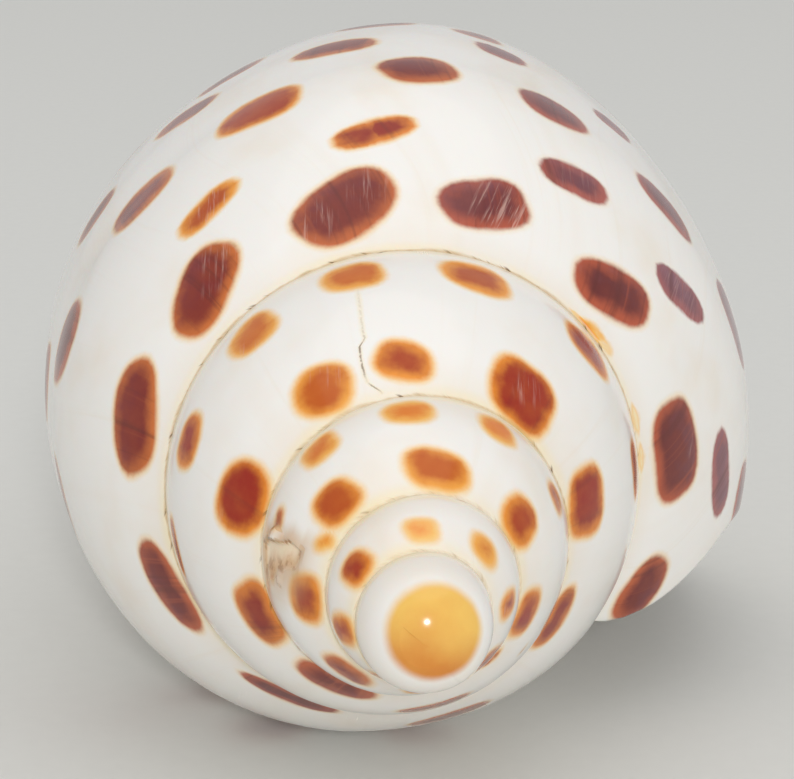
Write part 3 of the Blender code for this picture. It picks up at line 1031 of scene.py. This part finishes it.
def winding_tree():
    """Geometry Nodes that wind an unrolled wall along a logarithmic spiral and raise its growth rests."""
    group = bpy.data.node_groups.new("Winding of the shell", "GeometryNodeTree")
    wanted = (
        ("Geometry", "NodeSocketGeometry"),
        ("Growth rate", "NodeSocketFloat"),
        ("Top of the spire", "NodeSocketFloat"),
        ("Growth rest height", "NodeSocketFloat"),
        ("Growth rests per millimetre", "NodeSocketFloat"),
        ("Seed", "NodeSocketInt"),
        ("Glaze", "NodeSocketMaterial"),
    )
    for name, kind in wanted:
        group.interface.new_socket(name, in_out="INPUT", socket_type=kind)
    group.interface.new_socket("Geometry", in_out="OUTPUT", socket_type="NodeSocketGeometry")
    tree = Tree(group)
    given = {socket.name: Value(tree, socket) for socket in tree.node("NodeGroupInput").outputs}

    def field(name):
        return tree.value("GeometryNodeInputNamedAttribute", {"data_type": "FLOAT"}, {"Name": name})

    def coordinates():
        place = tree.value("GeometryNodeInputPosition")
        sockets = tree.node("ShaderNodeSeparateXYZ", None, {0: place}).outputs
        return [Value(tree, socket) for socket in sockets]

    def geometry(kind, **sockets):
        return tree.value(f"GeometryNode{kind}", None, sockets)

    across, turn, level = coordinates()
    angle = turn * -TURN
    size = tree.math("EXPONENT", turn * given["Growth rate"])
    radius = across * size
    x, y = radius * tree.math("COSINE", angle), radius * tree.math("SINE", angle)
    place = tree.vector(x, y, given["Top of the spire"] + level * size)
    coiled = geometry("SetPosition", Geometry=given["Geometry"], Position=place)

    height = coordinates()[2] * 0.04
    lines = tree.vector(field("growth"), height, given["Seed"])
    rests = tree.noise(lines, given["Growth rests per millimetre"], 3.0, 0.6)
    outside = (1 - field("inside")) * abs(field("seam")).smooth(0.1, 1.5)
    rise = rests * given["Growth rest height"] * outside
    rise = tree.vectors("SCALE", tree.value("GeometryNodeInputNormal"), rise)
    relieved = geometry("SetPosition", Geometry=coiled, Offset=rise)
    smooth = geometry("SetShadeSmooth", Geometry=relieved)
    whole = geometry("RealizeInstances", Geometry=smooth)
    glazed = geometry("SetMaterial", Geometry=whole, Material=given["Glaze"])
    tree.node("NodeGroupOutput", None, {0: glazed})
    return group


def add_object(name, data):
    """A new object in the scene, with this data."""
    item = bpy.data.objects.new(name, data)
    bpy.context.scene.collection.objects.link(item)
    return item


def wind_up(flat, glaze):
    """The wound shell as a plain mesh, from its unrolled wall."""
    holder = add_object("unrolled wall", flat)
    modifier = holder.modifiers.new("Winding", "NODES")
    modifier.node_group = winding_tree()
    sizes = shell_sizes()
    values = {
        "Growth rate": GROWTH_RATE,
        "Top of the spire": CONE_TOP,
        "Growth rest height": sizes.rest_height / MM,
        "Growth rests per millimetre": sizes.rest_density,
        "Seed": sizes.seed,
        "Glaze": glaze,
    }
    for item in modifier.node_group.interface.items_tree:
        if item.in_out == "INPUT" and item.name in values:
            modifier[item.identifier] = values[item.name]
    graph = bpy.context.evaluated_depsgraph_get()
    mesh = bpy.data.meshes.new_from_object(holder.evaluated_get(graph))
    bpy.data.objects.remove(holder)
    return mesh


# ---------------------------------------------------------------- glaze


class Glaze(Tree):
    """The shell's glaze. Each method named lay_ puts one kind of marking over the colour it is given. The
    distances that the markings go by are in millimetres."""

    def __init__(self, nodes):
        super().__init__(nodes)
        self.colours = bpy.context.scene.volute_shell_colours
        for name in (*Skin.FIELDS, "cap"):
            setattr(self, name, self.value("ShaderNodeAttribute", {"attribute_name": name}, output=2))
        self.outside = 1 - self.inside
        self.place = self.vectors("SCALE", self.node("ShaderNodeTexCoord").outputs["Object"], 1 / MM)

        # Growth lines run down the wall, so they are noise along the growth that hardly changes across it.
        slow = self.vectors("SCALE", self.place, 0.02)
        lines_at = self.vectors("ADD", slow, self.vector(self.growth, 0.0, 0.0))
        self.fine_lines = self.noise(lines_at, 2.2, 3.0, 0.6)
        self.broad_lines = self.noise(lines_at, 0.35, 2.0, 0.5)
        self.cloud = self.noise(self.place, 0.16, 3.0)
        self.mottle = self.noise(self.place, 0.9, 3.0)
        self.grain = self.noise(self.place, 5.0, 2.0)
        self.crumbs = self.noise(self.place, 1.6, 3.0, 0.6)
        self.find_masks()

    def find_masks(self):
        """Where the spots, the suture's band and line, the crack and the scratches show."""
        self.depth = self.spot + self.mottle * 0.2 + self.grain * 0.06 - 0.07
        self.body = self.depth.smooth(-0.25, 0.15)
        self.early, self.late = self.tone.smooth(0.0, 0.5), self.tone.smooth(0.5, 1.0)
        self.band = self.seam.smooth(0.9, 0.1) * self.outside
        self.from_line = self.seam + self.mottle * 0.22
        width = 0.12 + self.broad_lines.smooth(-0.1, 0.15) * 0.16
        self.line = self.from_line.smooth(width, 0.02) * self.outside
        self.from_crack = abs(self.crack + self.mottle * 0.15 + self.grain * 0.1)
        self.split = self.from_crack.smooth(0.075, 0.02) * self.dark * self.grain.smooth(-0.2, 0.05)
        few = self.noise(self.place, 0.3, 2.0).smooth(0.1, 0.25) * 0.5
        upright = self.scratched(SCRATCHES_UPRIGHT, self.worn.smooth(0.0, 1.0) + few)
        self.scratches = upright + self.scratched(SCRATCHES_LEANING, self.worn.smooth(0.0, -1.0))

    def scratched(self, angle, where):
        """Fine old scratches that lean by this angle, in the places that are worn."""
        sockets = {"Vector": self.place, "Rotation": (0.0, angle, 0.0), "Scale": SCRATCH_SIZES}
        drawn_out = self.value("ShaderNodeMapping", {"vector_type": "TEXTURE"}, sockets)
        return self.noise(drawn_out, 1.0, 3.0, 0.7).smooth(0.0, 0.22) * where * self.outside

    def ground(self):
        """Cream white, creamier in drifts, along growth lines, inside, and beside the sutures, where it is
        partly painted shade.
        """
        colours, outside = self.colours, self.outside
        drifts = self.cloud.smooth(-0.05, 0.3) * 0.5 + self.broad_lines.smooth(0.05, 0.25) * 0.3
        colour = self.mix(drifts + self.inside * 0.5, colours.ground, colours.cream)
        colour = self.mix(self.fine_lines.smooth(0.08, 0.3) * outside * 0.22, colour, colours.cream)
        # Creamier within 3 mm of a suture: partly the glaze's own tone, partly painted warm shade in the
        # hollow by the suture.
        colour = self.mix(self.seam.smooth(3.0, 0.2) * outside * 0.35, colour, colours.cream)
        return self.mix(self.band * (0.5 + self.cloud * 1.6), colour, colours.suture_cream)

    def by_tone(self, body, spire, pale):
        """Colour of a spot on the last whorl, on the spire or of the pale kind, as its tone says."""
        return self.mix(self.late, self.mix(self.early, body, spire), pale)

    def pigment(self):
        """A spot's orange rim and its core that deepens inwards, with a bloom and growth lines on it."""
        colours, lean, tone = self.colours, self.lean, self.tone
        depth = self.depth + lean * (0.34 - self.early * 0.24) + self.cloud * 1.2 + self.mottle * 0.7
        core = depth.smooth(-0.25, 1.2 - self.early * 0.42)
        rim = self.by_tone(colours.body_rim, colours.spire_rim, colours.pale_rim)
        middle = self.by_tone(colours.body_core, colours.spire_core, colours.pale_core)
        colour = self.mix(core * (0.95 + self.mottle * 0.3), rim, middle)
        bloom = (lean * 0.6 + self.mottle * 1.6 + self.cloud).smooth(-0.1, 0.9)
        bloom = bloom * self.depth.smooth(0.0, 0.3) * tone.smooth(0.4, 0.0)
        veiled = bloom * 0.2 + tone.smooth(0.05, -0.5) * 0.5
        colour = self.mix(veiled, colour, colours.veil)
        pale_lines = self.fine_lines.smooth(-0.06, -0.24) * tone.smooth(0.4, 0.1)
        colour = self.mix(pale_lines * 0.35, colour, rim)
        dark_lines = self.fine_lines.smooth(0.0, 0.22) * tone.smooth(0.7, 0.1)
        colour = self.mix(dark_lines * 0.45, colour, colours.growth_band)
        return self.mix(tone.smooth(1.0, 1.5), colour, colours.suture_cream)

    def lay_spots(self, colour):
        """The spots, with a soft pale edge. They show faintly inside the shell."""
        shown = 1 - self.inside * 0.8
        halo = self.depth.smooth(-0.5, -0.05) * 0.75 * shown * self.tone.smooth(-0.6, 0.3)
        halo_colour = self.mix(self.early, self.colours.halo, self.colours.spire_halo)
        colour = self.mix(halo, colour, halo_colour)
        return self.mix(self.body * shown, colour, self.pigment())

    def lay_scratches(self, colour):
        """The scratches, which show where they cross a spot."""
        return self.mix(self.scratches * self.body * 0.55, colour, self.colours.scratch)

    def lay_suture(self, colour):
        """A thin line of stain where a whorl laps over the one before, with dark specks along it."""
        specks = self.noise(self.vector(self.growth + self.seam * 1.5, 0.0, 0.0), 1.3, 4.0, 0.7)
        grown = self.growth.smooth(50.0, 110.0)
        shade = 0.2 + grown * 0.35 + specks * 1.8
        colour = self.mix(self.line * shade, colour, self.colours.suture_stain)
        speckled = self.from_line.smooth(0.24, 0.06) * self.outside * specks.smooth(0.04, 0.13)
        return self.mix(speckled * (0.25 + grown * 0.6), colour, self.colours.suture_speck)

    def lay_crack(self, colour):
        """The healed crack: a pale stain with a thin dark line in it."""
        stain = self.from_crack.smooth(0.22, 0.04) * self.dark.smooth(0.0, 0.15)
        colour = self.mix(stain * 0.45, colour, self.colours.suture_cream)
        return self.mix(self.split * 0.8, colour, self.colours.suture_speck)

    def lay_break(self, colour):
        """The broken place: a tan stain, partly painted shade behind the ledge; tan chalk under the glaze and
        cream by its brink, partly a painted highlight on the lit edge and painted shade further back; and a
        brown line, partly painted shadow in the gaps round the flakes.
        """
        colours, broken, crumbs = self.colours, self.broken, self.crumbs
        # Tan stain round the break, partly painted shade in the sunken part behind the ledge.
        stain_and_shade = self.math("MINIMUM", broken * (1 / SCAR_STAIN_AND_SHADE), 1.0) * (0.75 + self.cloud)
        colour = self.mix(stain_and_shade, colour, colours.scar_stain_and_shade)
        # Cream near the ledge, tan chalk further back: partly the bare shell's colours, partly a painted
        # highlight on the ledge's lit edge and painted shade in the recess behind it.
        fresh_and_lit = broken.smooth(0.4, 0.9) + crumbs * 0.8
        chalk = self.mix(fresh_and_lit, colours.chalk, colours.edge_cream_and_highlight)
        colour = self.mix(broken.smooth(0.15, 0.6) * 0.9, colour, chalk)
        # Brown line where the break's edge drops and round the flakes: partly a stain, partly painted shadow
        # in the gaps.
        brink = broken.smooth(0.2, 0.4) * broken.smooth(0.75, 0.5) * crumbs.smooth(0.05, -0.08)
        return self.mix(brink * 0.45, colour, colours.brink)

    def lay_cap_patch(self, colour):
        """The orange tan patch on the round first whorl."""
        edge = self.cap + self.mottle * 0.15
        tan = edge.smooth(CAP_PATCH_RADIUS + 0.35, CAP_PATCH_RADIUS - 0.3)
        level = self.value("ShaderNodeSeparateXYZ", None, {0: self.place}, 2)
        drift = self.noise(self.place, 0.45, 3.0)
        pale = (level - CAP_LEVEL) * 0.3 - drift * 2.4 + self.mottle * 0.8 + 0.5
        patch = self.mix(pale, self.colours.cap_rim, self.colours.cap_core)
        return self.mix(tan * self.outside, colour, patch)

    def roughness(self):
        """Glossy, and duller along the sutures, where it is scratched and where it is broken."""
        worn = self.scratches * 0.25 + self.band * 0.1 + self.line * 0.3 + self.broken * 0.4
        return 0.16 + self.mottle * 0.1 + worn

    def bump(self):
        """Growth lines, grain, scratches, crumbs in the broken place, and the cuts of sutures and crack."""
        lines = self.fine_lines * 0.35 + self.broad_lines * 0.8
        rough = self.grain * 0.05 - self.scratches * 0.3 + self.broken * self.crumbs * 0.4
        height = (lines + rough) * self.outside - self.line * 0.8 - self.split * 1.5
        sockets = {"Strength": 0.4, "Distance": 0.05 * MM, "Height": height}
        return self.value("ShaderNodeBump", None, sockets)


def glazed_shell():
    """Glossy cream-white glaze with brown spots, stained sutures, fine growth lines and old scratches."""
    material, shader = new_material("glazed shell")
    glaze = Glaze(material.node_tree)
    colour = glaze.lay_scratches(glaze.lay_spots(glaze.ground()))
    colour = glaze.lay_crack(glaze.lay_suture(colour))
    colour = glaze.lay_cap_patch(glaze.lay_break(colour))
    sockets = {
        "Base Color": colour,
        "Roughness": glaze.roughness(),
        "Normal": glaze.bump(),
        "Specular IOR Level": 0.28,
        "Coat Weight": 0.2,
        "Coat Roughness": 0.05,
        "Subsurface Weight": 0.08,
        "Subsurface Scale": 1.0 * MM,
    }
    glaze.feed(shader, sockets)
    return material


# ---------------------------------------------------------------- settings


def from_srgb(red, green, blue):
    """Linear colour from display values of 0 to 255."""
    shares = np.array((red, green, blue)) / 255
    return np.where(shares <= 0.04045, shares / 12.92, ((shares + 0.055) / 1.055) ** 2.4).tolist()


def colour_setting(name, description, *srgb):
    return FloatVectorProperty(
        name=name, description=description, default=from_srgb(*srgb), subtype="COLOR", size=3, min=0, max=1
    )


def length_setting(name, description, default_mm):
    return FloatProperty(
        name=name, description=description, default=default_mm * MM, unit="LENGTH", min=0, precision=5
    )


class VoluteShellSizes(bpy.types.PropertyGroup):
    lip_wall: length_setting("Lip wall", "Thickness of the wall at the edge of the lip", 1.0)
    fold_height: length_setting("Fold height", "Height of the four folds on the columella", 0.8)
    bead: length_setting("Suture bead", "Height of the bead where a whorl laps over the last", 0.035)
    rest_height: length_setting("Growth rest height", "Height of the low ridges left by growth", 0.14)
    rest_density: FloatProperty(
        name="Growth rests", description="Growth rests in each millimetre grown", default=0.22, min=0
    )
    seed: IntProperty(name="Seed", description="Number that fixes the growth rests", default=4)


class VoluteShellColours(bpy.types.PropertyGroup):
    ground: colour_setting("Ground", "Glaze between the spots", 246, 243, 238)
    cream: colour_setting("Cream", "Glaze in drifts and along growth lines", 238, 224, 204)
    halo: colour_setting("Halo", "Soft pale edge round a spot", 240, 206, 152)
    spire_halo: colour_setting("Spire halo", "Soft orange edge round a spot on the spire", 248, 196, 106)
    body_rim: colour_setting("Body rim", "Rim of a spot on the last whorl", 184, 88, 58)
    body_core: colour_setting("Body core", "Middle of a spot on the last whorl", 108, 42, 39)
    spire_rim: colour_setting("Spire rim", "Rim of a spot on the spire", 238, 146, 44)
    spire_core: colour_setting("Spire core", "Middle of a spot on the spire", 158, 38, 12)
    pale_rim: colour_setting("Pale rim", "Rim of a pale spot", 250, 196, 96)
    pale_core: colour_setting("Pale core", "Middle of a pale spot", 244, 140, 32)
    veil: colour_setting("Veil", "Greyish bloom over a dark spot", 148, 104, 120)
    growth_band: colour_setting("Growth band", "Darker band across a spot", 92, 38, 32)
    scratch: colour_setting("Scratch", "Fine scratches across the spots", 226, 186, 172)
    suture_cream: colour_setting("Suture cream", "Yellowish band along the suture", 246, 230, 192)
    suture_stain: colour_setting("Suture stain", "Line along the suture", 198, 158, 94)
    # In the broken place the tan stain is partly painted shade in the sunken part, the chalk partly painted
    # shade in the recess, the cream by the edge partly a painted highlight on the ledge's lit edge, and the
    # brown line partly painted shadow in the gaps round the flakes.
    chalk: colour_setting("Chalk", "Rough shell laid bare in the broken place", 218, 174, 124)
    edge_cream_and_highlight: colour_setting("Brink cream", "Fresh shell by the edge of the broken place", 252, 232, 202)
    scar_stain_and_shade: colour_setting("Scar stain", "Tan stain round the broken place", 208, 168, 120)
    brink: colour_setting("Brink", "Brown line along the edge of the broken place", 148, 92, 54)
    suture_speck: colour_setting("Suture speck", "Dark specks along the suture", 104, 70, 36)
    cap_rim: colour_setting("Cap rim", "Deeper colour of the first whorl's tan patch", 216, 136, 54)
    cap_core: colour_setting("Cap core", "Paler colour of the first whorl's tan patch", 242, 194, 98)
    floor: colour_setting("Floor", "Studio floor", 222, 222, 218)


def shell_sizes():
    return bpy.context.scene.volute_shell_sizes


# ---------------------------------------------------------------- operators


def vertex_places(mesh):
    """Places of a mesh's vertices, one to a row."""
    places = np.empty(len(mesh.vertices) * 3, np.float32)
    mesh.vertices.foreach_get("co", places)
    return places.reshape(-1, 3)


def lie_down(mesh):
    """Scale to metres, turn the aperture down and set the shell where the solid model has it."""
    pitch = Matrix.Rotation(math.radians(90 - AXIS_PITCH), 4, "X")
    turned_round = Matrix.Rotation(math.radians(LIP_ANGLE), 4, "Z")
    mesh.transform(Matrix.Scale(MM, 4) @ pitch @ turned_round)
    places = vertex_places(mesh)
    low, high = (np.array(corner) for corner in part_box("shell"))
    shift = (low + high) / 2 - (places.min(0) + places.max(0)) / 2
    shift[2] = low[2] - places[:, 2].min()
    mesh.transform(Matrix.Translation(shift))


def mark_cap(flat):
    """Keep each vertex's distance from the middle of the first whorl's tan patch."""
    cap_level = -CONE_TOP * math.exp(GROWTH_RATE * CAP_START) + CAP_HEIGHT
    middle = np.array([*CAP_PATCH, cap_level])
    away = np.linalg.norm(rolled_up(vertex_places(flat).astype(float)) - middle, axis=1)
    attribute = flat.attributes.new("cap", "FLOAT", "POINT")
    attribute.data.foreach_set("value", np.minimum(away, -FAR).astype(np.float32))


class VOLUTE_OT_shell(bpy.types.Operator):
    """Wind up the shell's wall, glaze it and mark its spots"""

    bl_idname = "volute.shell"
    bl_label = "Shell"

    def execute(self, context):
        skin = Skin()
        columns, period = add_outer_sheet(skin)
        wall, pillar, is_open = add_hollow(skin, columns, period)
        close_rim(skin, columns, period, wall, pillar, is_open)
        flat = skin.make_mesh("unrolled wall")
        mark_cap(flat)
        mesh = wind_up(flat, glazed_shell())
        lie_down(mesh)
        mesh.name = "volute_shell"
        shell = add_object("volute_shell", mesh)
        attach(shell, "root")
        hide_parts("shell")
        return {"FINISHED"}


class VOLUTE_OT_stage(bpy.types.Operator):
    """Set out the pale floor, the soft lamps and the camera"""

    bl_idname = "volute.stage"
    bl_label = "Stage"

    def execute(self, context):
        self.add_floor(context)
        for lamp in LAMPS:
            self.add_lamp(*lamp)
        self.add_camera(context)
        self.light_world(context)
        context.scene.view_settings.view_transform = "Standard"
        return {"FINISHED"}

    def add_floor(self, context):
        angles = np.arange(FLOOR_SIDES) * TURN / FLOOR_SIDES
        rim = np.stack([np.cos(angles), np.sin(angles), np.zeros(FLOOR_SIDES)], -1) * FLOOR_RADIUS
        mesh = bpy.data.meshes.new("floor")
        mesh.from_pydata(rim.tolist(), [], [tuple(range(FLOOR_SIDES))])
        material, shader = new_material("pale paper")
        tree = Tree(material.node_tree)
        fibre = tree.noise(tree.node("ShaderNodeTexCoord").outputs["Object"], FLOOR_FIBRES, 3.0)
        colour = context.scene.volute_shell_colours.floor
        paler = [channel * FLOOR_PALER for channel in colour]
        tree.feed(shader, {"Base Color": tree.mix(fibre + 0.5, colour, paler), "Roughness": 0.8})
        mesh.materials.append(material)
        add_object("floor", mesh)

    def add_lamp(self, name, place, size, power, spread):
        lamp = bpy.data.lights.new(name, "AREA")
        lamp.shape = "DISK"
        lamp.size = size
        lamp.energy = power
        lamp.spread = math.radians(spread)
        holder = add_object(name, lamp)
        holder.location = place
        holder.rotation_euler = (-Vector(place)).to_track_quat("-Z", "Y").to_euler()

    def add_camera(self, context):
        camera = bpy.data.cameras.new("camera")
        camera.lens = CAMERA_LENS
        camera.clip_start = NEAREST
        holder = add_object("camera", camera)
        holder.location = CAMERA_PLACE
        holder.rotation_euler = [math.radians(angle) for angle in CAMERA_TURN]
        context.scene.camera = holder

    def light_world(self, context):
        world = bpy.data.worlds.new("soft room")
        world.use_nodes = True
        tree = Tree(world.node_tree)
        seen = tree.value("ShaderNodeLightPath")
        strength = WORLD_LIGHT + seen * (BACKDROP_LIGHT - WORLD_LIGHT)
        white = (1.0, 1.0, 1.0, 1.0)
        tree.feed(world.node_tree.nodes["Background"], {"Color": white, "Strength": strength})
        context.scene.world = world


class VOLUTE_PT_panel(bpy.types.Panel):
    """Settings and steps of the volute shell"""

    bl_idname = "VOLUTE_PT_panel"
    bl_label = "Volute shell"
    bl_space_type = "VIEW_3D"
    bl_region_type = "UI"
    bl_category = "Volute shell"

    def draw(self, context):
        for group in (context.scene.volute_shell_sizes, context.scene.volute_shell_colours):
            box = self.layout.box()
            for name in group.__annotations__:
                box.prop(group, name)
        self.layout.operator(VOLUTE_OT_shell.bl_idname)
        self.layout.operator(VOLUTE_OT_stage.bl_idname)


CLASSES = (VoluteShellSizes, VoluteShellColours, VOLUTE_OT_shell, VOLUTE_OT_stage, VOLUTE_PT_panel)


def register():
    for kind in CLASSES:
        bpy.utils.register_class(kind)
    bpy.types.Scene.volute_shell_sizes = PointerProperty(type=VoluteShellSizes)
    bpy.types.Scene.volute_shell_colours = PointerProperty(type=VoluteShellColours)


def unregister():
    del bpy.types.Scene.volute_shell_colours
    del bpy.types.Scene.volute_shell_sizes
    for kind in reversed(CLASSES):
        bpy.utils.unregister_class(kind)


def main():
    register()
    bpy.ops.volute.shell()
    bpy.ops.volute.stage()


if __name__ == "__main__":
    main()
